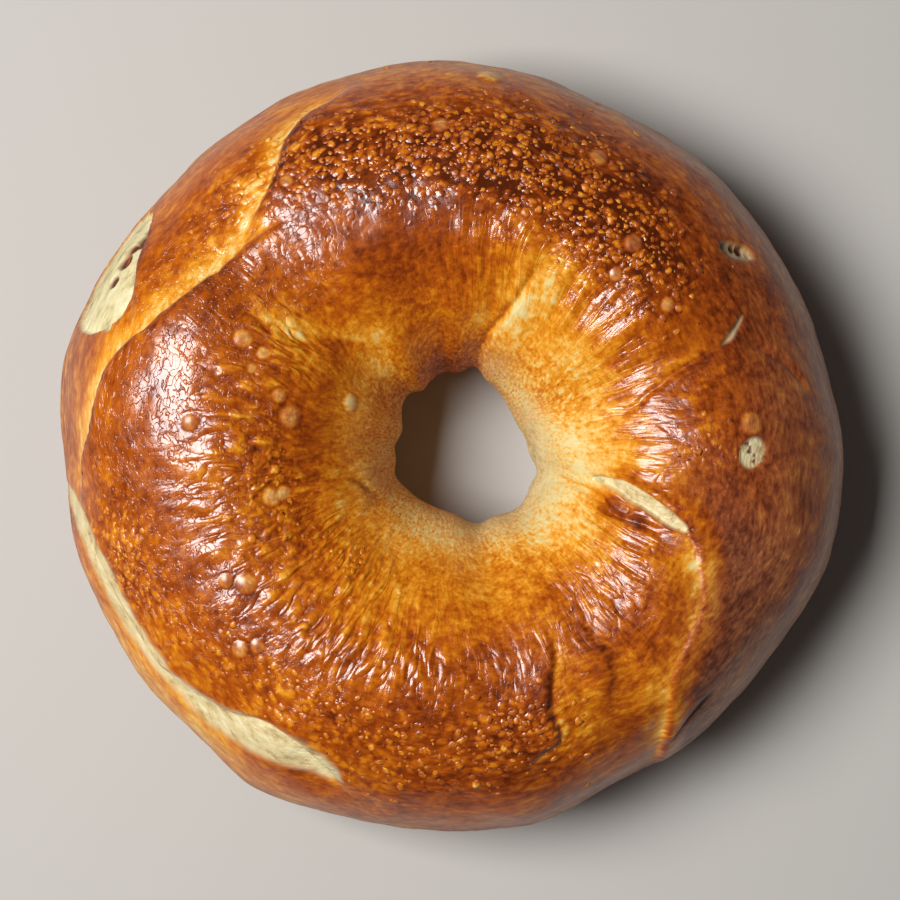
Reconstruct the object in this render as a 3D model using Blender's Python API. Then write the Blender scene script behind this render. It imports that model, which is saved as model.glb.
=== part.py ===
"""A plain bagel: one rope of dough joined into a ring, boiled and baked on its underside.

The ring lies flat with its hole upright along +Z and rests on the plane z = 0.
Azimuths are degrees from +X towards +Y.  A turn is the angle round the section of the
ring, in degrees: 0 is the outer side, 90 the crest, 180 the hole and 270 the underside.
Lengths are millimetres until the mesh is placed.
"""

import math

import bmesh
import bpy
import numpy as np

MM = 0.001

# The ring where nothing pulls it out of round
OUTER_RADIUS = 53.5
HOLE_RADIUS = 9.6
CREST_HEIGHT = 37.0
GIRTH_HEIGHT = 15.0
CREST_LEAN = 0.8

# The round underside is pressed this deep into the tray, with an edge this soft
BASE_SINK = 2.6
BASE_SOFTNESS = 1.3

# Squareness of the section: its mean, and what its outer side and its top add
SQUARENESS = 2.10
OUTER_SQUARENESS = 0.10
TOP_SQUARENESS = -0.08

# Swellings and pinches left by the hands that rolled it: azimuth, size, spread in degrees
OUTER_SWELLINGS = (
    (0, 1.2, 10), (40, -0.5, 18), (66, -1.2, 13), (92, 0.4, 7), (118, 0.3, 12), (151, 0.7, 8),
    (168, 1.9, 12), (196, 1.1, 9), (217, 0.8, 8), (241, 1.7, 11), (262, 0.4, 9), (280, 0.7, 8),
    (297, -1.3, 8), (322, -0.3, 9), (344, 1.6, 11),
)
HOLE_SWELLINGS = (
    (2, 0.8, 11), (55, 0.6, 16), (74, 1.7, 9), (95, 0.9, 11), (118, -0.8, 8), (165, -2.4, 22),
    (194, -1.0, 11), (235, -0.6, 36), (288, 1.5, 11), (321, 3.4, 26), (344, 1.4, 9),
)
CREST_SWELLINGS = (
    (172, 1.6, 24), (85, 1.2, 26), (18, -1.3, 11), (356, 0.6, 13), (338, -1.6, 10),
    (308, -0.8, 14), (262, 0.8, 26), (138, -1.2, 10), (222, 0.5, 20),
)

# Folds of the dough on the top.  Each line runs through (azimuth, radius) points as an eye
# this high above the tray sees them against the girth, with its higher side on its left:
# rise and sink of the two sides, how far they reach, depth and half-width of the groove.
EYE_HEIGHT = 368.0
FOLDS = (
    # the big west roll laps over the north-west face, and so does the north roll
    (((141, 40.2), (148, 41.5), (159, 46.2), (170, 50.2), (182, 51.9), (192, 53.4)),
     1.2, 1.5, 9.0, 0.2, 1.5),
    (((104, 52.8), (114, 50.8), (122, 46.7), (131, 43.0), (142, 40.2)), 0.9, 1.4, 8.0, 0.1, 1.5),
    # torn skin over bare crumb at the north-west side
    (((139, 53.8), (147, 51.9), (155, 50.0), (161, 48.2)), 0.3, 0.8, 4.0, 0.3, 1.5),
    # split between the top crust and the foot of the ring, along the south-west side
    (((187, 53.2), (197, 52.7), (208, 51.9), (219, 51.8), (228, 50.2), (236, 47.6), (244, 48.2),
      (252, 50.6)), 0.5, 0.9, 4.0, 0.4, 1.5),
    # creases that run out of the hole
    (((122, 14.0), (126, 16.8), (137, 21.6), (145, 26.1), (147, 33.9), (142, 40.0)),
     -0.1, 0.5, 7.0, 1.1, 1.7),
    (((222, 13.0), (209, 13.2), (199, 15.0), (194, 18.5), (192, 24.0)), 0.5, -0.3, 5.0, 0.8, 1.6),
    (((71, 11.9), (73, 14.0), (70, 18.0), (66, 23.0), (64, 31.0)), -0.2, -0.2, 5.0, 0.9, 1.6),
    # the seam in the east: a tear near the hole, and the loose end lapped over the south-east
    (((344, 15.0), (345, 21.0), (343, 28.5), (340, 35.0), (337, 38.0)), -0.2, -0.2, 5.0, 1.5, 2.2),
    (((343, 31.0), (339, 36.6), (331, 40.3), (321, 43.4), (312, 46.4), (306, 51.0), (302, 54.2)),
     0.7, 0.8, 7.0, 0.3, 1.5),
    (((303, 52.4), (311, 51.2), (321, 50.6), (330, 52.0), (337, 54.4)), 0.2, 0.2, 3.0, 0.5, 1.5),
    # pinched crease in the north-east, and soft folds in the south
    (((24, 46.0), (21, 41.6), (19, 36.6), (15, 29.6), (9, 23.0)), 0.3, 0.3, 6.0, 1.0, 1.7),
    (((300, 46.4), (307, 38.5), (306, 32.0), (311, 26.0)), 0.5, 0.4, 5.0, 0.5, 1.8),
    (((284, 46.8), (291, 42.6), (296, 37.0), (297, 31.0)), 0.3, 0.3, 5.0, 0.6, 1.6),
)
FOLD_FADE = 5.0

# The mesh: steps round the ring and round its section
RING_STEPS = 104
SECTION_STEPS = 48


def clear_scene():
    """Start from an empty scene."""
    for item in list(bpy.data.objects):
        bpy.data.objects.remove(item, do_unlink=True)


def swell(azimuth, swellings):
    """Sum of the rounded swellings at each azimuth."""
    total = np.zeros_like(azimuth)
    for centre, size, spread in swellings:
        away = (azimuth - centre + 180.0) % 360.0 - 180.0
        total += size * np.exp(-((away / spread) ** 2))
    return total


def pressed_flat(height):
    """Heights with all that would hang below the tray pressed onto it, with a soft edge."""
    edge = np.clip(height, -BASE_SOFTNESS, BASE_SOFTNESS)
    return np.maximum(height - edge, 0.0) + (edge + BASE_SOFTNESS) ** 2 / (4 * BASE_SOFTNESS)


def ring_point(azimuth, turn):
    """Places on the smooth ring, before any fold."""
    outer = OUTER_RADIUS + swell(azimuth, OUTER_SWELLINGS)
    hole = HOLE_RADIUS + swell(azimuth, HOLE_SWELLINGS)
    crest = CREST_HEIGHT - GIRTH_HEIGHT + swell(azimuth, CREST_SWELLINGS)
    out, up = np.cos(np.radians(turn)), np.sin(np.radians(turn))
    power = SQUARENESS + OUTER_SQUARENESS * out + TOP_SQUARENESS * up
    reach = (np.abs(out) ** power + np.abs(up) ** power) ** (-1.0 / power)
    radius = (outer + hole) / 2 + (outer - hole) / 2 * reach * out
    radius += CREST_LEAN * np.clip(up, 0.0, 1.0) ** 2
    height = GIRTH_HEIGHT + np.where(up > 0, crest, GIRTH_HEIGHT + BASE_SINK) * reach * up
    around = np.radians(azimuth)
    return np.stack((radius * np.cos(around), radius * np.sin(around), height), axis=-1)


def ring_normal(azimuth, turn, nudge=0.05):
    """Outward normals of the smooth ring."""
    round_ring = ring_point(azimuth + nudge, turn) - ring_point(azimuth - nudge, turn)
    round_section = ring_point(azimuth, turn + nudge) - ring_point(azimuth, turn - nudge)
    normal = np.cross(round_ring, round_section)
    return normal / np.linalg.norm(normal, axis=-1, keepdims=True)


def smooth_line(points, pieces=6):
    """Catmull-Rom line through the points, with its ends carried straight on."""
    ends = np.vstack((2 * points[0] - points[1], points, 2 * points[-1] - points[-2]))
    t = np.linspace(0.0, 1.0, pieces, endpoint=False)[:, None]
    line = []
    for a, b, c, d in zip(ends, ends[1:], ends[2:], ends[3:]):
        bend = (2 * a - 5 * b + 4 * c - d) * t ** 2 + (3 * b - a - 3 * c + d) * t ** 3
        line.append(b + 0.5 * ((c - a) * t + bend))
    return np.vstack(line + [points[-1:]])


def line_on_ring(points):
    """Line over the top of the ring, from its (azimuth, radius) points seen from above."""
    azimuth, radius = np.radians([p[0] for p in points]), np.array([p[1] for p in points])
    flat = smooth_line(np.stack((radius * np.cos(azimuth), radius * np.sin(azimuth)), axis=-1))
    turns = np.linspace(180.0, 0.0, 361)
    line = []
    for x, y in flat:
        section = ring_point(np.full_like(turns, math.degrees(math.atan2(y, x))), turns)
        closer = (EYE_HEIGHT - GIRTH_HEIGHT) / (EYE_HEIGHT - section[:, 2])
        seen = closer * np.hypot(section[:, 0], section[:, 1])
        line.append([np.interp(math.hypot(x, y), seen, section[:, axis]) for axis in range(3)])
    return np.array(line)


def fold_lift(places, normals, fold):
    """How far one fold lifts each place along its normal."""
    points, rise, sink, reach, groove, half_width = fold
    line = line_on_ring(points)
    start, step = line[:-1], np.diff(line, axis=0)
    length = np.linalg.norm(step, axis=1)
    share = np.clip(((places[:, None] - start) * step).sum(2) / length ** 2, 0.0, 1.0)
    gap = places[:, None] - start - share[..., None] * step
    nearest = (gap ** 2).sum(2).argmin(1)
    rows = np.arange(len(places))
    gap, share = gap[rows, nearest], share[rows, nearest]
    run = np.append(0.0, np.cumsum(length))
    along = run[nearest] + share * length[nearest]
    side = (np.cross(normals, step[nearest]) * gap).sum(1)
    away = np.copysign(np.linalg.norm(gap, axis=1), side)
    end = np.clip(np.minimum(along, run[-1] - along) / FOLD_FADE, 0.0, 1.0)
    high = 0.5 + 0.5 * np.tanh(away / half_width)
    lift = (rise * high - sink * (1 - high)) * np.exp(-((away / reach) ** 2))
    lift -= groove * np.exp(-((away / half_width) ** 2))
    return lift * end ** 2 * (3 - 2 * end)


def dough_surface(azimuth, turn):
    """Places on the finished surface, standing on the tray with the ring's box centred."""
    places, normals = ring_point(azimuth, turn), ring_normal(azimuth, turn)
    lift = sum(fold_lift(places, normals, fold) for fold in FOLDS)
    places = places + normals * lift[:, None]
    places[:, 2] = pressed_flat(places[:, 2])
    places[:, :2] -= (places[:, :2].min(0) + places[:, :2].max(0)) / 2
    return places


def spun_ring():
    """Plain ring of quads, spun from a round section."""
    mould_radius, mould_section = (OUTER_RADIUS + HOLE_RADIUS) / 2, (OUTER_RADIUS - HOLE_RADIUS) / 2
    ring = bmesh.new()
    section = bmesh.ops.create_circle(ring, segments=SECTION_STEPS, radius=mould_section)["verts"]
    for vert in section:
        vert.co = (mould_radius + vert.co.x, 0.0, vert.co.y)
    bmesh.ops.spin(
        ring, geom=ring.verts[:] + ring.edges[:], cent=(0, 0, 0), axis=(0, 0, 1),
        angle=math.tau, steps=RING_STEPS, use_merge=True,
    )
    bmesh.ops.recalc_face_normals(ring, faces=ring.faces)
    places = np.array([vert.co for vert in ring.verts])
    azimuth = np.degrees(np.arctan2(places[:, 1], places[:, 0]))
    out = np.hypot(places[:, 0], places[:, 1]) - mould_radius
    return ring, azimuth, np.degrees(np.arctan2(places[:, 2], out))


def baked_crust():
    """Glossy golden-brown crust of a boiled bagel."""
    material = bpy.data.materials.new("baked_crust")
    material.use_nodes = True
    shader = material.node_tree.nodes["Principled BSDF"]
    shader.inputs["Base Color"].default_value = (0.47, 0.17, 0.035, 1.0)
    shader.inputs["Roughness"].default_value = 0.38
    shader.inputs["Metallic"].default_value = 0.0
    return material


def make_bagel():
    """The whole bagel: a single solid."""
    ring, azimuth, turn = spun_ring()
    for vert, place in zip(ring.verts, dough_surface(azimuth, turn)):
        vert.co = place * MM
    mesh = bpy.data.meshes.new("bagel")
    ring.to_mesh(mesh)
    ring.free()
    mesh.shade_smooth()
    mesh.materials.append(baked_crust())
    bagel = bpy.data.objects.new("bagel", mesh)
    bpy.context.scene.collection.objects.link(bagel)
    return bagel


clear_scene()
make_bagel()
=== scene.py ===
"""A plain bagel, boiled and baked, seen from straight above on a pale table."""

import math

import bmesh
import bpy
import numpy as np
from mathutils import Matrix, Vector, noise


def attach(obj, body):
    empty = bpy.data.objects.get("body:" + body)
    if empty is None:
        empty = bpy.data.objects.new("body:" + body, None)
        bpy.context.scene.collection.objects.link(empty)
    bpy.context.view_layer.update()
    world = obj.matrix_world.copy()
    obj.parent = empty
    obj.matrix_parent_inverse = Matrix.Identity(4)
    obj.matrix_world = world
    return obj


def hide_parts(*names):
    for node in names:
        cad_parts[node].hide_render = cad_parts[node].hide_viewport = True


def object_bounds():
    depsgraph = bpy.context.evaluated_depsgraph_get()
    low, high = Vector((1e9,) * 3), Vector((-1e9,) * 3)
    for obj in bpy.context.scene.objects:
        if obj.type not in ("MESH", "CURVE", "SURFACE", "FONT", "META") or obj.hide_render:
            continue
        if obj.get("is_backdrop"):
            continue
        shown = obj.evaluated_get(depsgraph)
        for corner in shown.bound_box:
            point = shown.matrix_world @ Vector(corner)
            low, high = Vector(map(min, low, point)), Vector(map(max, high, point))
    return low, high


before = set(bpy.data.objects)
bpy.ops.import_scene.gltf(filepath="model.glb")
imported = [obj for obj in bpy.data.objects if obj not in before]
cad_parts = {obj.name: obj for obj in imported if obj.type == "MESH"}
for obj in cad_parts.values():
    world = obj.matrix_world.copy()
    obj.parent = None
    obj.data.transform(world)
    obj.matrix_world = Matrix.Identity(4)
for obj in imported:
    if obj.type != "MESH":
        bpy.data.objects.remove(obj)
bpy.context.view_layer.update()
MM = 0.001

# ---------------------------------------------------------------------------------------
# The bagel: one rope of wheat dough joined into a ring, boiled so that its skin sets glossy
# and blistered, then baked standing on a tray.  The skin laps in folds where the rope was
# joined and tears open to pale crumb where the dough sprang in the oven.
# Azimuths are degrees from +X, seen from above.  A turn is the angle round the section: 0
# on the outer side, 90 on the crest, 180 in the hole, -90 underneath.  Lengths are mm.
OUTER_RADIUS = 53.5
HOLE_RADIUS = 9.6
CREST_HEIGHT = 37.0
GIRTH_HEIGHT = 15.0
CREST_LEAN = 0.8
BASE_SINK = 2.6
BASE_SOFTNESS = 1.3
SQUARENESS = 2.10
OUTER_SQUARENESS = 0.10
TOP_SQUARENESS = -0.08
EYE_HEIGHT = 368.0

# Swellings and pinches left by the hands that rolled it: azimuth, size, spread in degrees
OUTER_SWELLINGS = (
    (0, 1.2, 10), (40, -0.5, 18), (66, -1.2, 13), (92, 0.4, 7), (118, 0.3, 12), (151, 0.7, 8),
    (168, 1.9, 12), (196, 1.1, 9), (217, 0.8, 8), (241, 1.7, 11), (262, 0.4, 9), (280, 0.7, 8),
    (297, -1.3, 8), (322, -0.3, 9), (344, 1.6, 11),
)
HOLE_SWELLINGS = (
    (2, 0.8, 11), (55, 0.6, 16), (74, 1.7, 9), (95, 0.9, 11), (118, -0.8, 8), (165, -2.4, 22),
    (194, -1.0, 11), (235, -0.6, 36), (288, 1.5, 11), (321, 3.4, 26), (344, 1.4, 9),
)
CREST_SWELLINGS = (
    (172, 1.6, 24), (85, 1.2, 26), (18, -1.3, 11), (356, 0.6, 13), (338, -1.6, 10),
    (308, -0.8, 14), (262, 0.8, 26), (138, -1.2, 10), (222, 0.5, 20),
)

# Folds of the skin.  Each line runs through (azimuth, radius) points seen from above, with
# its higher side on its left.  The numbers are the rise and sink of its two sides, how far
# they reach, the depth and half-width of the groove between them, and how much paler the
# low side stayed, because the high side shaded it until the dough sprang.
FLAP_EDGE = (
    (344, 29.0), (341, 34.6), (335, 38.2), (331, 40.2), (326, 42.4), (318, 43.8), (312, 46.2), (308, 49.6),
    (305, 51.9), (302, 54.2),
)
FOLDS = (
    # the big west roll laps over the north-west face, and so does the north roll
    (((124, 39.0), (130, 39.8), (135, 40.5), (142, 41.0), (148, 42.6), (154, 44.6), (159, 46.2), (164, 49.0),
      (170, 50.3), (177, 50.9), (182, 51.8), (190, 53.4)), 0.9, 0.9, 8.0, 0.25, 0.4, 0.5),
    (((104, 52.8), (110, 51.4), (114, 50.8), (118, 49.4), (122, 46.8), (125, 44.8), (130, 43.2),
      (134, 41.8), (139, 40.8)), 0.6, 0.7, 7.0, 0.1, 0.45, 0.5),
    # torn skin over bare crumb at the north-west side
    (((140, 54.0), (142.5, 53.3), (146, 52.3), (150, 51.7), (154.6, 50.3), (159.8, 48.9), (163, 48.3)),
     0.3, 0.5, 3.5, 0.3, 0.35, 0.0),
    # split between the top crust and the foot of the ring, along the south-west side
    (((187, 53.2), (197, 52.7), (208, 51.9), (219, 51.8), (226, 50.4), (231, 49.3), (236, 47.4),
      (243, 47.9), (250, 49.8), (255, 51.6)), 0.4, 0.8, 3.5, 0.4, 0.45, 0.3),
    # creases that run out of the hole
    (((122, 14.0), (125, 16.3), (130, 18.4), (137, 21.6), (145, 26.1), (147, 30.6), (147, 33.9),
      (143, 38.0)), -0.1, 0.3, 6.0, 0.3, 0.8, 0.3),
    (((222, 13.0), (209, 13.2), (199, 14.6), (195, 17.1), (193, 22.0)), 0.5, -0.3, 4.0, 0.5, 0.6, 0.1),
    (((71, 11.9), (73, 13.8), (71, 17.0), (67, 20.4), (65, 23.1), (64, 30.0)),
     -0.1, -0.1, 4.0, 0.6, 0.5, 0.1),
    # the seam in the east, and the loose end lapped over the south-east
    (((342, 13.9), (342, 18.3), (340, 22.2), (337, 24.6), (337, 28.8), (338, 32.3), (340, 35.5)),
     0.0, -0.3, 4.0, 0.6, 0.45, 0.0),
    (FLAP_EDGE, 0.28, 0.14, 3.0, 0.10, 0.42, 0.3),
    (((311, 47.0), (307, 50.2), (304, 52.3), (301, 54.6)), 0.35, 0.3, 4.0, 0.1, 0.35, 0.1),
    (((304, 52.6), (308, 51.6), (314, 51.0), (319, 50.8)), 0.1, 0.2, 3.0, 0.4, 0.5, -0.1),
    # strands of skin stretched round the north side of the tear
    (((349, 19.5), (350, 24.8), (348, 28.6), (344, 33.4), (338, 36.8), (331, 39.9)),
     0.4, -0.3, 2.5, 0.2, 0.35, 0.0),
    # pinched crease in the north-east, and soft folds in the south
    (((24, 46.0), (21, 42.7), (20, 40.6), (19, 37.0), (17, 32.1), (15, 29.6), (12, 26.0), (9, 22.5)),
     0.15, 0.15, 4.0, 0.45, 0.4, 0.1),
    (((22, 42.9), (17, 46.3), (13, 49.1), (7, 51.6)), 0.1, 0.2, 3.0, 0.4, 0.5, 0.0),
    (((300, 46.4), (303, 42.1), (307, 37.6), (306, 32.0), (311, 26.0)), 0.4, 0.3, 4.0, 0.1, 1.3, 0.1),
    (((280, 48.4), (282.6, 47.3), (285.7, 46.0), (290.3, 44.3), (291.4, 38.7), (295.8, 33.4), (299, 27)),
     0.4, 0.3, 4.0, 0.25, 0.5, 0.25),
)
FOLD_FADE = 9.0
# A thin darker line along each fold's edge, on its high side.
EDGE_DARKENING = 0.16

# Tears down to the crumb: line seen from above, widest half-width, depth, bareness, softness
TEARS = (
    (((347, 20.5), (345.5, 24.5), (343.5, 28.5), (341.5, 32.0), (339.8, 35.4)), 1.25, 1.0, 0.9, 0.5),
    (((142.5, 54.0), (146, 54.2), (150, 54.4), (154, 54.1), (158, 53.0), (161, 51.9)), 6.6, 0.6, 1.0, 0.9),
    (((186, 54.7), (193, 53.4), (200, 52.5), (208, 52.1), (215, 52.0), (221, 51.9), (229, 51.4)),
     2.5, 0.3, 0.85, 1.2),
    (((218, 52.2), (228, 51.0), (233, 50.3), (239, 49.4), (246, 49.2), (251.5, 49.8)), 3.0, 0.4, 0.9, 1.6),
    (((359.6, 41.0), (357.2, 43.9)), 1.9, 0.4, 0.8, 0.7),
    (((36.6, 47.4), (34.5, 48.8), (32.0, 50.6)), 1.3, 0.9, 0.6, 0.6),
    (((23.8, 44.8), (21.6, 42.6), (20.2, 40.6)), 0.35, 0.4, 0.5, 0.4),
)
PORES = (
    (144.1, 53.2, 1.3), (146.1, 53.2, 1.4), (148.2, 53.6, 0.9), (150.6, 53.7, 1.3), (154.2, 53.7, 1.0),
    (34.9, 49.0, 0.5), (33.9, 49.7, 0.7), (0.3, 41.9, 0.28), (359.5, 42.3, 0.22), (358.7, 42.2, 0.25),
    (358.0, 42.9, 0.2), (356.9, 43.0, 0.3),
)
# Blisters raised by steam: azimuth, radius seen from above, own radius
BLISTERS = (
    (4, 42.4, 1.8), (84, 52.2, 2.0), (63, 45.5, 1.4), (48, 38.3, 1.4), (46, 33.4, 1.0),
    (33, 36.4, 1.1), (170, 23.2, 1.7), (164, 25.4, 1.1), (157, 15.4, 1.4), (175, 37.1, 1.3),
    (159, 30.2, 0.8), (92, 45.3, 1.3), (196, 26.4, 1.4), (196, 24.6, 1.1), (224, 41.5, 1.3),
    (226, 39.5, 1.1), (211, 37.2, 1.1), (214, 35.0, 1.6), (154, 29.6, 1.0), (122, 43.7, 1.0),
    (153, 33.1, 1.4),
)

RING_STEPS = 256
SECTION_STEPS = 112


def swell(azimuth, swellings):
    """Sum of the rounded swellings at each azimuth."""
    total = np.zeros_like(azimuth)
    for centre, size, spread in swellings:
        away = (azimuth - centre + 180.0) % 360.0 - 180.0
        total += size * np.exp(-((away / spread) ** 2))
    return total


def pressed_flat(height):
    """Heights with all that would hang below the tray pressed onto it, with a soft edge."""
    edge = np.clip(height, -BASE_SOFTNESS, BASE_SOFTNESS)
    return np.maximum(height - edge, 0.0) + (edge + BASE_SOFTNESS) ** 2 / (4 * BASE_SOFTNESS)


def ring_point(azimuth, turn):
    """Places on the smooth ring, before any fold."""
    outer = OUTER_RADIUS + swell(azimuth, OUTER_SWELLINGS)
    hole = HOLE_RADIUS + swell(azimuth, HOLE_SWELLINGS)
    crest = CREST_HEIGHT - GIRTH_HEIGHT + swell(azimuth, CREST_SWELLINGS)
    out, up = np.cos(np.radians(turn)), np.sin(np.radians(turn))
    power = SQUARENESS + OUTER_SQUARENESS * out + TOP_SQUARENESS * up
    reach = (np.abs(out) ** power + np.abs(up) ** power) ** (-1.0 / power)
    radius = (outer + hole) / 2 + (outer - hole) / 2 * reach * out
    radius += CREST_LEAN * np.clip(up, 0.0, 1.0) ** 2
    height = GIRTH_HEIGHT + np.where(up > 0, crest, GIRTH_HEIGHT + BASE_SINK) * reach * up
    around = np.radians(azimuth)
    return np.stack((radius * np.cos(around), radius * np.sin(around), height), axis=-1)


def ring_normal(azimuth, turn, nudge=0.05):
    """Outward normals of the smooth ring."""
    round_ring = ring_point(azimuth + nudge, turn) - ring_point(azimuth - nudge, turn)
    round_section = ring_point(azimuth, turn + nudge) - ring_point(azimuth, turn - nudge)
    normal = np.cross(round_ring, round_section)
    return normal / np.linalg.norm(normal, axis=-1, keepdims=True)


def smooth_line(points, pieces=6):
    """Catmull-Rom line through the points, with its ends carried straight on."""
    ends = np.vstack((2 * points[0] - points[1], points, 2 * points[-1] - points[-2]))
    t = np.linspace(0.0, 1.0, pieces, endpoint=False)[:, None]
    line = []
    for a, b, c, d in zip(ends, ends[1:], ends[2:], ends[3:]):
        bend = (2 * a - 5 * b + 4 * c - d) * t ** 2 + (3 * b - a - 3 * c + d) * t ** 3
        line.append(b + 0.5 * ((c - a) * t + bend))
    return np.vstack(line + [points[-1:]])


def seen_radius(places):
    """Radius at which an eye straight above sees each place, against the girth."""
    closer = (EYE_HEIGHT - GIRTH_HEIGHT) / (EYE_HEIGHT - places[:, 2])
    return np.hypot(places[:, 0], places[:, 1]) * closer


def line_on_ring(points):
    """Line over the top of the ring, from its (azimuth, radius) points seen from above."""
    azimuth, radius = np.radians([p[0] for p in points]), np.array([p[1] for p in points])
    flat = np.stack((radius * np.cos(azimuth), radius * np.sin(azimuth)), axis=-1)
    if len(flat) > 1:
        flat = smooth_line(flat)
    turns = np.linspace(180.0, 9.0, 343)
    line = []
    for x, y in flat:
        section = ring_point(np.full_like(turns, math.degrees(math.atan2(y, x))), turns)
        seen = seen_radius(section)
        line.append([np.interp(math.hypot(x, y), seen, section[:, axis]) for axis in range(3)])
    return np.array(line)


def beside_line(places, normals, line, reach):
    """Places near a line: their numbers, signed distance (left is positive) and share along it."""
    low, high = line.min(0) - reach, line.max(0) + reach
    near = np.flatnonzero(((places > low) & (places < high)).all(1))
    start, step = line[:-1], np.diff(line, axis=0)
    length = np.linalg.norm(step, axis=1)
    offset = places[near][:, None] - start
    share = np.clip((offset * step).sum(2) / length ** 2, 0.0, 1.0)
    gap = offset - share[..., None] * step
    nearest = (gap ** 2).sum(2).argmin(1)
    rows = np.arange(len(near))
    gap, share = gap[rows, nearest], share[rows, nearest]
    run = np.append(0.0, np.cumsum(length))
    side = (np.cross(normals[near], step[nearest]) * gap).sum(1)
    away = np.copysign(np.linalg.norm(gap, axis=1), side)
    return near, away, run[nearest] + share * length[nearest], run[-1]


def smooth_step(value):
    """Eases from 0 to 1."""
    value = np.clip(value, 0.0, 1.0)
    return value * value * (3 - 2 * value)


def lumps(places, size, seed=0.0):
    """Soft random lumps of about that size, from -1 to 1, at each place."""
    shift = Vector((seed, seed * 1.7, seed * 2.3))
    return np.array([noise.noise(Vector(place) / size + shift) for place in places])


def plain_ring():
    """Ring of quads spun from a round section, evenly spaced; the top is made finer afterwards by refine."""
    middle, section_radius = (OUTER_RADIUS + HOLE_RADIUS) / 2, (OUTER_RADIUS - HOLE_RADIUS) / 2
    ring = bmesh.new()
    section = bmesh.ops.create_circle(ring, segments=SECTION_STEPS, radius=section_radius)["verts"]
    for vert in section:
        vert.co = (middle + vert.co.x, 0.0, vert.co.y)
    bmesh.ops.spin(
        ring, geom=ring.verts[:] + ring.edges[:], cent=(0, 0, 0), axis=(0, 0, 1),
        angle=math.tau, steps=RING_STEPS, use_merge=True,
    )
    bmesh.ops.recalc_face_normals(ring, faces=ring.faces)
    return ring


def azimuth_and_turn(ring):
    """Where each vertex of the plain ring is, in degrees round the ring and its section."""
    places = np.array([vert.co for vert in ring.verts])
    out = np.hypot(places[:, 0], places[:, 1]) - (OUTER_RADIUS + HOLE_RADIUS) / 2
    azimuth = np.degrees(np.arctan2(places[:, 1], places[:, 0])) % 360.0
    return azimuth, np.degrees(np.arctan2(places[:, 2], out))


def refine(ring, wanted):
    """Cuts each edge in two whose ends are both wanted."""
    ring.verts.index_update()
    edges = [e for e in ring.edges if wanted[e.verts[0].index] and wanted[e.verts[1].index]]
    bmesh.ops.subdivide_edges(ring, edges=edges, cuts=1, use_grid_fill=True)


ring = plain_ring()
azimuth, turn = azimuth_and_turn(ring)
refine(ring, (turn > -18) | (turn < -168))

azimuth, turn = azimuth_and_turn(ring)
places, normals = ring_point(azimuth, turn), ring_normal(azimuth, turn)
by_detail = np.zeros(len(places), bool)
for fold in FOLDS:
    near, away, _, _ = beside_line(places, normals, line_on_ring(fold[0]), 2.0)
    by_detail[near[np.abs(away) < 0.9]] = True
for line, half_width, depth, bareness, softness in TEARS:
    near, away, _, _ = beside_line(places, normals, line_on_ring(line), half_width + 2)
    by_detail[near[np.abs(away) < half_width + 0.6]] = True
for spot_azimuth, spot_radius, own_radius in BLISTERS + PORES:
    centre = line_on_ring(((spot_azimuth, spot_radius),))[0]
    by_detail[np.linalg.norm(places - centre, axis=1) < 1.5 * own_radius] = True
refine(ring, by_detail)
print("fine", sum(len(f.verts) - 2 for f in ring.faces))

azimuth, turn = azimuth_and_turn(ring)
places, normals = ring_point(azimuth, turn), ring_normal(azimuth, turn)
seen = seen_radius(places)
upper = smooth_step((np.where(turn < -90, turn + 360, turn) + 25) / 20)
upper *= smooth_step((205 - np.where(turn < -90, turn + 360, turn)) / 20)
flow = 5 * lumps(places, 20.0, 11.0) + 1.2 * lumps(places, 6.0, 12.0)
drift = 3 * lumps(places, 12.0, 13.0)
around = np.radians(azimuth + flow)
wrap = np.stack((33 * np.cos(around), 33 * np.sin(around), (turn + drift) * 0.36), axis=-1)


def patches(spots):
    """Sum of soft patches on the top: azimuth, radius, spread in degrees, spread in mm, strength."""
    total = np.zeros(len(places))
    for spot_azimuth, radius, wide, deep, strength in spots:
        away = ((azimuth - spot_azimuth + 180.0) % 360.0 - 180.0) / wide
        total += strength * np.exp(-(away ** 2) - ((seen - radius) / deep) ** 2)
    return total * upper


# Where the skin stretched into fine wrinkles that point at the hole, and where steam raised
# small blisters: patches as azimuth, radius, spread in degrees, spread in mm, strength
STRETCHED = (
    (45, 27, 34, 8, 0.8), (72, 27, 16, 8, 0.9), (95, 22, 20, 6, 0.4), (150, 24, 30, 8, 0.2),
    (215, 32, 32, 8, 0.3), (256, 30, 20, 8, 0.9), (318, 29, 20, 9, 1.0), (345, 25, 18, 8, 0.6),
    (12, 24, 14, 10, 0.6), (315, 44, 10, 8, 0.3),
)
BLISTERED = (
    (82, 42, 28, 7, 1.1), (50, 37, 18, 7, 0.9), (28, 17, 16, 4, 0.4), (112, 44, 10, 6, 0.6),
    (190, 26, 22, 5, 0.5), (228, 22, 22, 4, 0.4), (200, 49, 14, 4, 0.8), (228, 43, 16, 5, 0.4), (262, 43, 26, 6, 0.55),
    (285, 42, 12, 6, 0.5), (0, 36, 10, 5, 0.3), (128, 47, 14, 4, 0.5),
)
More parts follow.
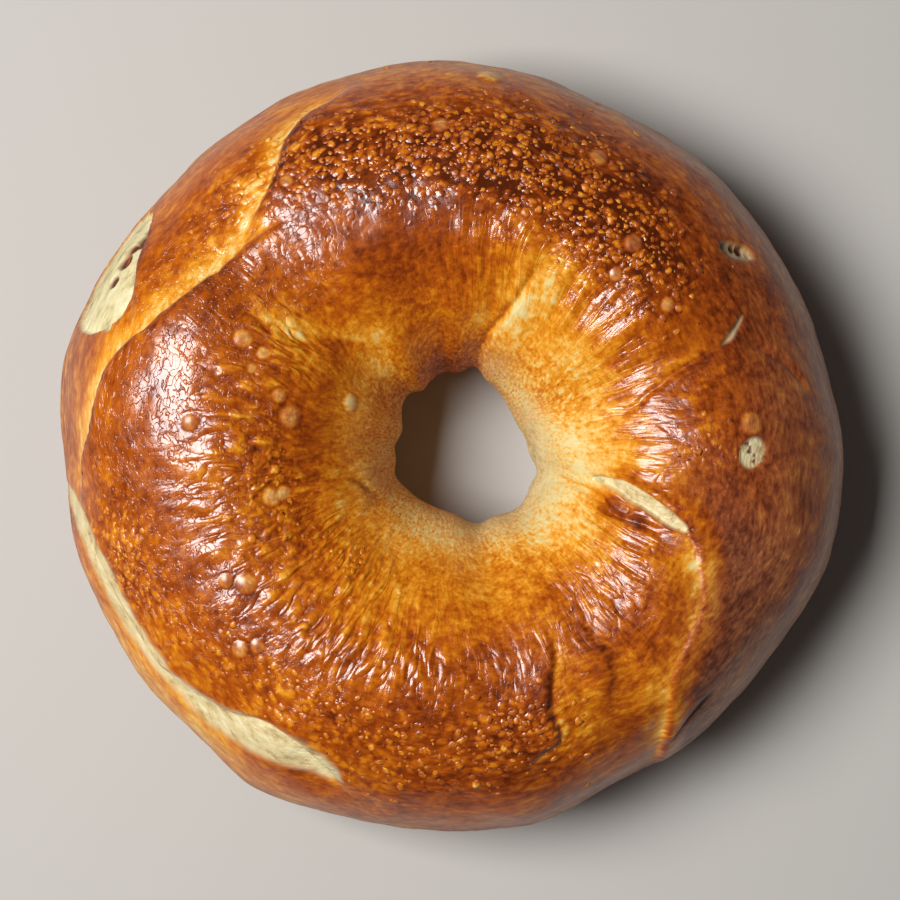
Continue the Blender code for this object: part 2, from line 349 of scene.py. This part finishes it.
# Where the film crinkled in small plates, and where it puffed up between its creases
CRINKLED = ((165, 39, 34, 11, 0.9), (137, 38, 15, 8, 0.9), (203, 38, 24, 10, 0.6), (104, 37, 20, 9, -0.4))
RUGGED = (
    (190, 29, 20, 6, 1.0), (224, 30, 22, 6, 1.2), (262, 31, 20, 6, 0.6), (155, 27, 20, 6, 0.8),
    (98, 34, 24, 9, -0.15), (45, 37, 16, 6, 0.4), (316, 30, 20, 10, 0.5), (130, 45, 12, 5, 0.4),
    (15, 35, 10, 6, 0.3), (350, 30, 16, 6, 0.3), (225, 22, 30, 5, 0.6), (150, 32, 24, 5, 0.4),
)
GLOSSY = (
    (165, 38, 50, 12, 0.55), (225, 33, 36, 10, 0.5), (60, 28, 30, 8, 0.3), (40, 36, 12, 6, 0.4),
    (345, 20, 22, 6, 0.3),
)
# Duller, purple-brown skin. On the east flanks (azimuths 334 to 15) this is painted shade and a dim painted reflection
# of the side turned from the light. The blisters get it as their own tan colour.
DULL_AND_SHADED = (
    (15, 51, 36, 6, 0.4), (338, 50, 20, 6, 0.5), (4, 46, 18, 5, 0.4), (334, 46, 12, 5, 0.6), (170, 55, 22, 2.5, 0.6),
)
stretched = np.clip(patches(STRETCHED), 0, 1)
crinkled = np.clip(patches(CRINKLED) + 0.15, 0, 1) * upper
gloss = smooth_step(turn / 35) * smooth_step((175 - turn) / 45) * np.clip(0.88 + patches(GLOSSY), 0, 1)
dull_and_shade = np.clip(patches(DULL_AND_SHADED), 0, 1)
rugged = np.clip(patches(RUGGED) + 0.15, 0, 1) * upper
blistered = np.clip(patches(BLISTERED), 0, 1)

finely_cut = np.zeros(len(places), bool)
count = len(places)
lift, paler, bare, matt = np.zeros((4, count))
wobble, broad = lumps(places, 2.2, 3.0), lumps(places, 9.0, 1.0)
for line, rise, sink, reach, groove, half_width, pale in FOLDS:
    near, away, along, whole = beside_line(places, normals, line_on_ring(line), 2.2 * reach)
    finely_cut[near[np.abs(away) < 1.0]] = True
    away = away + 0.3 * wobble[near]
    end = smooth_step(np.minimum(along, whole - along) / min(FOLD_FADE, whole / 3))
    high = 0.5 + 0.5 * np.tanh(away / half_width)
    step = (rise * high - sink * (1 - high)) * np.exp(-((away / reach) ** 2))
    lift[near] += end * (step - groove * np.exp(-((away / half_width) ** 2)))
    paler[near] += end * pale * (1 - high) * np.exp(-((away / (0.45 * reach)) ** 2))
    matt[near] = np.maximum(matt[near], end * min(rise + sink, 1) * np.exp(-((away / 1.0) ** 2)))
    paler[near] -= end * EDGE_DARKENING * np.exp(-(((away - 0.4) / 0.6) ** 2))
# The flap's edge browned orange. Behind it the flank is painted a darker, duller purple brown: partly a drier skin,
# partly painted shade of the side turned from the light.
near, away, along, whole = beside_line(places, normals, line_on_ring(FLAP_EDGE), 18.0)
end = smooth_step(along / 12)
paler[near] += 0.20 * end * np.exp(-(((away - 1.3) / 1.4) ** 2))
dull_and_shade[near] = np.maximum(dull_and_shade[near], end * smooth_step((away - 2.8) / 2.0) * smooth_step((18 - away) / 10))
paler[near] -= 0.12 * end * smooth_step((away - 2.6) / 1.2) * smooth_step((12 - away) / 8)
for line, half_width, depth, bareness, softness in TEARS:
    near, away, along, whole = beside_line(places, normals, line_on_ring(line), half_width + 2)
    spread = half_width * np.sqrt(np.clip(4 * along / whole * (1 - along / whole), 0.0, 1.0))
    spread += 0.3 * wobble[near] + 0.25 * half_width * broad[near]
    inside = smooth_step((spread - np.abs(away)) / softness + 0.5)
    lift[near] -= depth * inside
    bare[near] = np.maximum(bare[near], bareness * inside)
# Pores and cracks are pits pressed into the skin and kept matt. They are painted dark brown, which is painted shade
# inside the holes.
for spot_azimuth, spot_radius, own_radius in PORES:
    centre = line_on_ring(((spot_azimuth, spot_radius),))[0]
    share = np.linalg.norm(places - centre, axis=1) / own_radius
    pit = smooth_step((1.2 - share) / 0.4)
    lift -= 0.4 * own_radius * pit
    bare *= 1 - pit
    paler -= 0.9 * pit
    matt = np.maximum(matt, 2 * pit)
for spot_azimuth, spot_radius, own_radius in BLISTERS:
    centre = line_on_ring(((spot_azimuth, spot_radius),))[0]
    share = np.linalg.norm(places - centre, axis=1) / own_radius
    dome = np.clip(1 - share ** 2, 0.0, 1.0)
    lift += 0.24 * own_radius * dome
    paler += 0.28 * smooth_step(dome * 1.5) - 0.08 * np.exp(-(((share - 1.1) / 0.2) ** 2))
    dull_and_shade = np.maximum(dull_and_shade, 0.8 * dome)
    smooth = 1 - smooth_step(1.8 - 1.2 * share)
    crinkled, rugged, stretched, blistered = (zone * smooth for zone in (crinkled, rugged, stretched, blistered))

wrinkle = 2.0 * lumps(wrap / (1.9, 1.9, 9.0), 1.0, 5.0)
puffs = np.abs(lumps(wrap / (1.8, 1.8, 3.4), 1.0, 6.0))
scales = np.abs(lumps(wrap / (2.4, 2.4, 1.4), 1.0, 7.0))
near_hole = smooth_step((seen - 12) / 8)
lift += 0.17 * stretched * near_hole * wrinkle + 0.55 * rugged * puffs + 0.34 * blistered * scales
lift += 0.35 * broad + 0.11 * lumps(places, 3.6, 2.0)
above = smooth_step((turn + 60) / 30) + smooth_step((-120 - turn) / 30)
places = places + normals * (lift * np.clip(above, 0, 1))[:, None]
places[:, 2] = pressed_flat(places[:, 2])
middle = (places[:, :2].min(0) + places[:, :2].max(0)) / 2
places[:, :2] -= middle
for vert, place in zip(ring.verts, places):
    vert.co = Vector(place) * MM

crust_mesh = bpy.data.meshes.new("crust")
ring.to_mesh(crust_mesh)
ring.free()
crust_mesh.shade_smooth()
crust = bpy.data.objects.new("crust", crust_mesh)
bpy.context.scene.collection.objects.link(crust)

# How brown each place is, from 0, pale dough, to 1, nearly burnt: most on the crest. It also carries painted shade:
# darker hole walls, the darker flank behind the south-east flap and the dark pores.
BAKE_TURNS = (-180, -90, -75, -30, 0, 25, 45, 75, 90, 103, 116, 128, 139, 148, 158, 180)
BAKE_TONES = (0.25, 0.55, 0.6, 0.5, 0.52, 0.56, 0.64, 0.69, 0.67, 0.60, 0.52, 0.42, 0.30, 0.24, 0.22, 0.25)
# Patches of more or less browning: azimuth, radius, spread in degrees, spread in mm, strength. The two at radius 12
# (azimuths 90 and 150) are painted shade on the hole's walls.
BAKED_AND_SHADED = (
    (76, 41, 34, 8, 0.22), (100, 26, 22, 8, 0.20), (140, 22, 20, 6, 0.12), (196, 20, 34, 5, 0.13), (90, 20, 22, 5, 0.16), (0, 27, 25, 5, 0.07),
    (350, 20, 26, 8, -0.22), (318, 16, 24, 7, -0.06), (305, 22, 18, 5, 0.08), (36, 20, 20, 6, -0.14), (62, 23, 9, 8, -0.30),
    (318, 34, 24, 9, 0.02), (130, 17, 9, 4, -0.12), (250, 25, 18, 6, -0.06), (90, 12, 30, 4, 0.45),
    (285, 46, 18, 6, 0.10), (110, 47, 14, 5, 0.06), (85, 52, 30, 4, -0.10), (150, 12, 40, 3, 0.12), (27, 17, 13, 3, 0.20),
    (339, 24.0, 5, 1.7, 0.45), (337.5, 28.5, 3.5, 1.6, 0.35), (297, 42, 6, 8, -0.14),
    (230, 48, 14, 3, -0.15), (222, 55, 16, 3, -0.30), (147, 27, 6, 6, -0.20), (176, 21, 12, 3, 0.14), (40, 42, 20, 7, 0.12),
    (5, 44, 20, 7, 0.05), (315, 47, 10, 3, 0.08), (309, 45, 4, 5, -0.22), (333, 38, 4, 2.5, -0.25), (270, 33, 30, 6, 0.08),
)
CRUMBLY = ((305, 11, 40, 3.0, 0.6), (345, 12, 24, 2.5, 0.5), (15, 11.5, 24, 2.5, 0.4), (60, 12, 12, 3, 0.3))
bake_and_shade = np.interp(turn, BAKE_TURNS, BAKE_TONES) + patches(BAKED_AND_SHADED)
bake_and_shade += 0.10 * lumps(places, 7.0, 8.0) * upper - 0.05 * stretched * wrinkle
bake_and_shade -= 0.30 * rugged * (puffs - 0.2) + 0.50 * blistered * (scales - 0.2)
bake_and_shade = np.clip(bake_and_shade - paler, 0, 1)
bare = np.clip(bare + patches(CRUMBLY), 0, 1)


def store(mesh, name, values):
    """Keeps one number, or one vector, at each vertex, for the material to read."""
    kind, key = ("FLOAT", "value") if values.ndim == 1 else ("FLOAT_VECTOR", "vector")
    layer = mesh.attributes.new(name, kind, "POINT")
    layer.data.foreach_set(key, values.astype(np.float32).ravel())


store(crust_mesh, "bake_and_shade", bake_and_shade)
store(crust_mesh, "stretched", stretched)
store(crust_mesh, "blistered", blistered)
store(crust_mesh, "bare", bare)
store(crust_mesh, "crinkled", crinkled)
store(crust_mesh, "gloss", gloss * (1 - 0.4 * np.minimum(matt, 1)) * (matt < 1.5) * (1 - 0.3 * dull_and_shade))
store(crust_mesh, "dull_and_shade", dull_and_shade)
store(crust_mesh, "rugged", rugged)
store(crust_mesh, "wrap", wrap)


def linear(code):
    """Linear colour of an sRGB hex code."""
    parts = [int(code[i:i + 2], 16) / 255 for i in (1, 3, 5)]
    return [p / 12.92 if p <= 0.04045 else ((p + 0.055) / 1.055) ** 2.4 for p in parts] + [1.0]


def add(tree, kind, inputs=(), **settings):
    """Adds a node; its inputs are values or sockets, by order or name.  Gives its first output."""
    node = tree.nodes.new(kind)
    for name, value in settings.items():
        setattr(node, name, value)
    for key, value in dict(inputs if isinstance(inputs, dict) else enumerate(inputs)).items():
        if isinstance(value, bpy.types.NodeSocket):
            tree.links.new(value, node.inputs[key])
        else:
            node.inputs[key].default_value = value
    return node.outputs[0]


def baked_skin():
    """Boiled and baked wheat skin: starch set glossy in the boil, browned in the oven."""
    material = bpy.data.materials.new("baked_skin")
    material.use_nodes = True
    tree = material.node_tree
    shader = tree.nodes["Principled BSDF"]
    shader.inputs["Specular IOR Level"].default_value = 0.5
    noise_node, mapping, math_node = "ShaderNodeTexNoise", "ShaderNodeMapping", "ShaderNodeMath"
    place = add(tree, "ShaderNodeTexCoord").node.outputs["Object"]
    wrap = add(tree, "ShaderNodeAttribute", attribute_name="wrap").node.outputs["Vector"]
    bake_and_shade, stretched, blistered, bare, crinkled, rugged, gloss, dull_and_shade = (
        add(tree, "ShaderNodeAttribute", attribute_name=name).node.outputs["Fac"]
        for name in ("bake_and_shade", "stretched", "blistered", "bare", "crinkled", "rugged", "gloss", "dull_and_shade")
    )

    # Film that shrank as it dried: plates 1 mm wide, parted by fine creases
    spread = add(tree, mapping, {"Vector": wrap, "Scale": (0.78, 0.78, 1.05)})
    film = add(tree, noise_node, {
        "Vector": spread, "Scale": 1.0, "Detail": 1.0, "Roughness": 0.5, "Distortion": 0.4})
    film = add(tree, "ShaderNodeSeparateColor", {"Color": film.node.outputs["Color"]}).node.outputs
    plates, crossing = (add(tree, math_node, (film[k], 0.5), operation="SUBTRACT") for k in (0, 1))
    plates = add(tree, math_node, (plates,), operation="ABSOLUTE")
    crossing = add(tree, math_node, (crossing,), operation="ABSOLUTE")
    plates = add(tree, math_node, (plates, crossing, 0.008), operation="SMOOTH_MIN")
    plates = add(tree, math_node, (plates, 48.0), operation="MULTIPLY")
    plates = add(tree, math_node, (plates, 1.0, 0.4), operation="SMOOTH_MIN")
    # Skin puffed up between creases that point at the hole, 1.5 mm apart
    spread = add(tree, mapping, {"Vector": wrap, "Scale": (0.58, 0.58, 0.30)})
    puffs = add(tree, noise_node, {
        "Vector": spread, "Scale": 1.0, "Detail": 1.0, "Roughness": 0.5, "Distortion": 0.5})
    puffs = add(tree, math_node, (puffs, 0.5), operation="SUBTRACT")
    puffs = add(tree, math_node, (puffs,), operation="ABSOLUTE")
    puffs = add(tree, math_node, (puffs, rugged), operation="MULTIPLY")
    # Strands where the skin stretched towards the hole
    spread = add(tree, mapping, {"Vector": wrap, "Scale": (0.55, 0.55, 0.10)})
    strand = add(tree, noise_node, {
        "Vector": spread, "Scale": 1.0, "Detail": 2.0, "Roughness": 0.6, "Distortion": 0.8})
    strand = add(tree, math_node, (strand, 0.5), operation="SUBTRACT")
    strand = add(tree, math_node, (strand,), operation="ABSOLUTE")
    strand = add(tree, math_node, (strand, -9.0, 1.0), operation="MULTIPLY_ADD")
    strand = add(tree, math_node, (strand, 0.0, 0.3), operation="SMOOTH_MAX")
    strand = add(tree, math_node, (strand, stretched), operation="MULTIPLY")
    # Grains of steam-blistered skin, 1.2 mm apart and no two alike
    spread = add(tree, mapping, {"Vector": wrap, "Scale": (0.77, 0.77, 0.91)})
    bend = add(tree, noise_node, {"Vector": spread, "Scale": 1.0, "Detail": 2.0}).node.outputs["Color"]
    spread = add(tree, mapping, {"Vector": wrap, "Scale": (0.84, 0.84, 0.98)})
    spread = add(tree, "ShaderNodeVectorMath", (bend, (0.9, 0.9, 0.9), spread), operation="MULTIPLY_ADD")
    cells = add(tree, "ShaderNodeTexVoronoi", {"Vector": spread, "Scale": 1.0})
    size = add(tree, "ShaderNodeSeparateColor", {"Color": cells.node.outputs["Color"]})
    size = add(tree, math_node, (size, 0.45, 0.30), operation="MULTIPLY_ADD")
    grains = add(tree, math_node, (cells, size), operation="DIVIDE")
    grains = add(tree, math_node, (1.0, grains), operation="SUBTRACT")
    grains = add(tree, math_node, (grains, 0.0), operation="MAXIMUM")
    grains = add(tree, math_node, (grains, 0.6, 0.3), operation="SMOOTH_MIN")
    grains = add(tree, math_node, (grains, blistered), operation="MULTIPLY")
    # Uneven browning: broad clouds, blotches 2 mm across and specks of half a millimetre
    clouds = add(tree, noise_node, {"Vector": place, "Scale": 140.0, "Detail": 4.0})
    spread = add(tree, mapping, {"Vector": wrap, "Scale": (0.38, 0.38, 0.66)})
    blotches = add(tree, noise_node, {"Vector": spread, "Scale": 1.0, "Detail": 5.0, "Roughness": 0.68})
    spread = add(tree, mapping, {"Vector": wrap, "Scale": (1.0, 1.0, 1.7)})
    specks = add(tree, noise_node, {"Vector": spread, "Scale": 1.0, "Detail": 3.0, "Roughness": 0.6})
    fine = add(tree, noise_node, {"Vector": place, "Scale": 2400.0, "Detail": 2.0})

    height = add(tree, math_node, (plates, crinkled), operation="MULTIPLY")
    height = add(tree, math_node, (height, 0.038), operation="MULTIPLY")
    height = add(tree, math_node, (puffs, 0.9, height), operation="MULTIPLY_ADD")
    height = add(tree, math_node, (strand, 0.05, height), operation="MULTIPLY_ADD")
    height = add(tree, math_node, (grains, 0.30, height), operation="MULTIPLY_ADD")
    height = add(tree, math_node, (specks, 0.015, height), operation="MULTIPLY_ADD")
    height = add(tree, math_node, (fine, 0.008, height), operation="MULTIPLY_ADD")
    pitted = add(tree, math_node, (specks, bare), operation="MULTIPLY")
    height = add(tree, math_node, (pitted, 0.25, height), operation="MULTIPLY_ADD")
    bump = add(tree, "ShaderNodeBump", {"Distance": MM, "Strength": 1.0, "Height": height})
    tree.links.new(bump, shader.inputs["Normal"])

    tone = add(tree, math_node, (bake_and_shade, 0.15 + 0.40 + 0.25), operation="SUBTRACT")
    tone = add(tree, math_node, (clouds, 0.30, tone), operation="MULTIPLY_ADD")
    tone = add(tree, math_node, (blotches, 0.80, tone), operation="MULTIPLY_ADD")
    tone = add(tree, math_node, (specks, 0.50, tone), operation="MULTIPLY_ADD")
    flecks = add(tree, math_node, (specks, 0.5), operation="SUBTRACT")
    flecks = add(tree, math_node, (flecks, 1.3), operation="MULTIPLY")
    tone = add(tree, math_node, (flecks, add(tree, math_node, (1.0, gloss), operation="SUBTRACT"), tone),
               operation="MULTIPLY_ADD")
    tone = add(tree, math_node, (puffs, -1.2, tone), operation="MULTIPLY_ADD")
    tone = add(tree, math_node, (rugged, 0.10, tone), operation="MULTIPLY_ADD")
    tone = add(tree, math_node, (grains, -0.90, tone), operation="MULTIPLY_ADD")
    tone = add(tree, math_node, (blistered, 0.14, tone), operation="MULTIPLY_ADD")
    tone = add(tree, math_node, (strand, -0.14, tone), operation="MULTIPLY_ADD")
    colours = []
    for value, stops in (
        (tone, ((0.00, "#D6C78E"), (0.12, "#DDB665"), (0.26, "#DA9428"), (0.42, "#C5730E"),
                (0.60, "#A75008"), (0.80, "#803405"), (1.00, "#4C1A01"))),
        (tone, ((0.20, "#C9A274"), (0.45, "#A26B43"), (0.65, "#84513A"), (0.90, "#5A3022"))),
        (blotches, ((0.32, "#8E7A50"), (0.48, "#CDBE8C"), (0.68, "#E4DAB0"))),
    ):
        ramp = add(tree, "ShaderNodeValToRGB", (value,))
        elements = ramp.node.color_ramp.elements
        for _ in stops[2:]:
            elements.new(0.5)
        for element, (position, code) in zip(elements, stops):
            element.position, element.color = position, linear(code)
        colours.append(ramp)
    # Mix towards the duller purple-brown ramp. On the east flanks this is painted shade and painted reflection.
    shade = add(tree, math_node, (dull_and_shade, 0.7), operation="MULTIPLY")
    skin = add(tree, "ShaderNodeMix", {0: shade, 6: colours[0], 7: colours[1]}, data_type="RGBA").node.outputs[2]
    skin = add(tree, "ShaderNodeMix", {0: bare, 6: skin, 7: colours[2]}, data_type="RGBA").node.outputs[2]
    tree.links.new(skin, shader.inputs["Base Color"])
    roughness = add(tree, math_node, (gloss, -0.48, 0.66), operation="MULTIPLY_ADD")
    roughness = add(tree, math_node, (bare, 0.2, roughness), operation="MULTIPLY_ADD")
    tree.links.new(roughness, shader.inputs["Roughness"])
    return material


crust_mesh.materials.append(baked_skin())
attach(crust, "root")
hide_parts("bagel")

# ---------------------------------------------------------------------------------------
# Small blisters: beads of skin that steam lifted in the boil, thinner than the crust, so
# they browned less.  They crowd together where the skin stretched least, most of them
# longer along the ring than across it.
BEAD_COUNT = 1200
BEAD_LENGTHS = (0.30, 0.85)
BEAD_WIDTH_SHARES = (0.5, 1.0)
BEAD_HEIGHT_SHARE = 0.34
BEAD_SINK_SHARE = 0.5
BEAD_SKEW = 40.0
BEAD_SHAPES = 8
BEAD_UNEVENNESS = 0.22


def pick_centres(count, sizes, weights):
    """Vertices of the crust that far apart, drawn at random, more where the weights are high."""
    drawn = dice.choice(len(weights), 12 * count, p=weights / weights.sum())
    chosen, centres = [], np.empty((count, 3))
    for number in drawn:
        gap = np.linalg.norm(centres[:len(chosen)] - places[number], axis=1)
        if len(chosen) < count and (gap > 0.62 * (sizes[:len(chosen)] + sizes[len(chosen)])).all():
            centres[len(chosen)] = places[number]
            chosen.append(number)
    return np.array(chosen)


dice = np.random.default_rng(7)
bead_sizes = dice.uniform(0, 1, BEAD_COUNT + 1) ** 1.8 * (BEAD_LENGTHS[1] - BEAD_LENGTHS[0]) + BEAD_LENGTHS[0]
bead_weights = blistered ** 2.2 * (bare < 0.02) * np.hypot(places[:, 0], places[:, 1])
bead_weights[finely_cut] *= 0.2
centres = pick_centres(BEAD_COUNT, bead_sizes, bead_weights)

dome = bmesh.new()
bmesh.ops.create_icosphere(dome, subdivisions=2, radius=1.0)
cut = bmesh.ops.bisect_plane(
    dome, geom=dome.verts[:] + dome.edges[:] + dome.faces[:], plane_co=(0, 0, 0), plane_no=(0, 0, -1),
    clear_outer=True,
)["geom_cut"]
bmesh.ops.contextual_create(dome, geom=[part for part in cut if isinstance(part, bmesh.types.BMEdge)])
bmesh.ops.recalc_face_normals(dome, faces=dome.faces)
round_dome = [vert.co.copy() for vert in dome.verts]
dome_heights = np.array([place.z for place in round_dome])
dome_shapes = []
for number in range(BEAD_SHAPES):
    for vert, place in zip(dome.verts, round_dome):
        vert.co = place * (1 + dice.normal(0, BEAD_UNEVENNESS))
    bmesh.ops.smooth_vert(dome, verts=dome.verts, factor=0.3, use_axis_x=True, use_axis_y=True, use_axis_z=True)
    dome_shapes.append(bpy.data.meshes.new("one_blister"))
    dome.to_mesh(dome_shapes[-1])
dome.free()
beads = bmesh.new()
for number, size in zip(centres, bead_sizes):
    up = crust_mesh.vertices[int(number)].normal
    around_ring = Vector((-places[number][1], places[number][0], 0.0))
    turned = Matrix.Rotation(math.radians(dice.normal(0, BEAD_SKEW)), 3, up) @ around_ring
    across = up.cross(turned).normalized()
    width = size * dice.uniform(*BEAD_WIDTH_SHARES)
    height = width * BEAD_HEIGHT_SHARE
    axes = Matrix((across.cross(up) * size, across * width, up * height)).transposed()
    spot = Vector(places[number]) - up * height * BEAD_SINK_SHARE
    bead = dome_shapes[dice.integers(BEAD_SHAPES)].copy()
    bead.transform(Matrix.Scale(MM, 4) @ Matrix.Translation(spot) @ axes.to_4x4())
    beads.from_mesh(bead)
    bpy.data.meshes.remove(bead)
for dome_mesh in dome_shapes:
    bpy.data.meshes.remove(dome_mesh)

bead_mesh = bpy.data.meshes.new("blisters")
beads.to_mesh(bead_mesh)
print("beads", len(centres), sum(len(p.vertices) - 2 for p in bead_mesh.polygons), len(dome_heights))
beads.free()
bead_mesh.shade_smooth()
bead_object = bpy.data.objects.new("blisters", bead_mesh)
bpy.context.scene.collection.objects.link(bead_object)
top = np.tile(smooth_step(dome_heights * 1.8 - 0.5), len(centres))
skirt_bake = np.repeat(bake_and_shade[centres], len(dome_heights))
top_bake = np.minimum(skirt_bake, np.repeat(dice.uniform(0.42, 0.70, len(centres)), len(dome_heights)))
store(bead_mesh, "bake_and_shade", np.clip(skirt_bake + top * (top_bake - skirt_bake), 0, 1))
store(bead_mesh, "gloss", np.repeat(0.68 * gloss[centres], len(dome_heights)))
store(bead_mesh, "dull_and_shade", np.repeat(dull_and_shade[centres], len(dome_heights)))
store(bead_mesh, "wrap", np.array([vert.co for vert in bead_mesh.vertices]) / MM)
bead_mesh.materials.append(crust_mesh.materials[0])
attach(bead_object, "root")
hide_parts("bagel")

# ---------------------------------------------------------------------------------------
# Table: a plain pale matt surface that the bagel lies on.
TABLE_SIZE = 3.0
table_mesh = bpy.data.meshes.new("table")
table_shape = bmesh.new()
bmesh.ops.create_grid(table_shape, x_segments=1, y_segments=1, size=TABLE_SIZE / 2)
table_shape.to_mesh(table_mesh)
table_shape.free()
table = bpy.data.objects.new("table", table_mesh)
bpy.context.scene.collection.objects.link(table)
table_paint = bpy.data.materials.new("pale_table")
table_paint.use_nodes = True
table_paint.node_tree.nodes["Principled BSDF"].inputs["Base Color"].default_value = linear("#B4B0AA")
table_paint.node_tree.nodes["Principled BSDF"].inputs["Roughness"].default_value = 0.8
table_mesh.materials.append(table_paint)
table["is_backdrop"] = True

# ---------------------------------------------------------------------------------------
# Studio: one large soft box up on the left in a dim room.


def soft_box(name, place, size, power):
    """Square area light that faces the bagel."""
    light = bpy.data.lights.new(name, "AREA")
    light.shape = "SQUARE"
    light.size = size
    light.energy = power
    lamp = bpy.data.objects.new(name, light)
    lamp.location = place
    lamp.rotation_euler = (Vector((0, 0, 0.02)) - Vector(place)).to_track_quat("-Z", "Y").to_euler()
    bpy.context.scene.collection.objects.link(lamp)


soft_box("key", (-0.30, 0.045, 0.57), 0.28, 5.8)
world = bpy.data.worlds.new("room")
world.use_nodes = True
world.node_tree.nodes["Background"].inputs["Color"].default_value = linear("#C8CCD2")
world.node_tree.nodes["Background"].inputs["Strength"].default_value = 0.09
bpy.context.scene.world = world
bpy.context.scene.view_settings.view_transform = "Standard"

# Camera: straight above, far enough off for a natural perspective.
LENS = 100.0
SENSOR = 36.0
VIEW_WIDTH = 0.12708
camera = bpy.data.objects.new("camera", bpy.data.cameras.new("camera"))
camera.data.lens = LENS
camera.data.sensor_width = SENSOR
camera.location = (-0.00028, -0.00056, GIRTH_HEIGHT * MM + VIEW_WIDTH * LENS / SENSOR)
bpy.context.scene.collection.objects.link(camera)
bpy.context.scene.camera = camera

low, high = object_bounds()
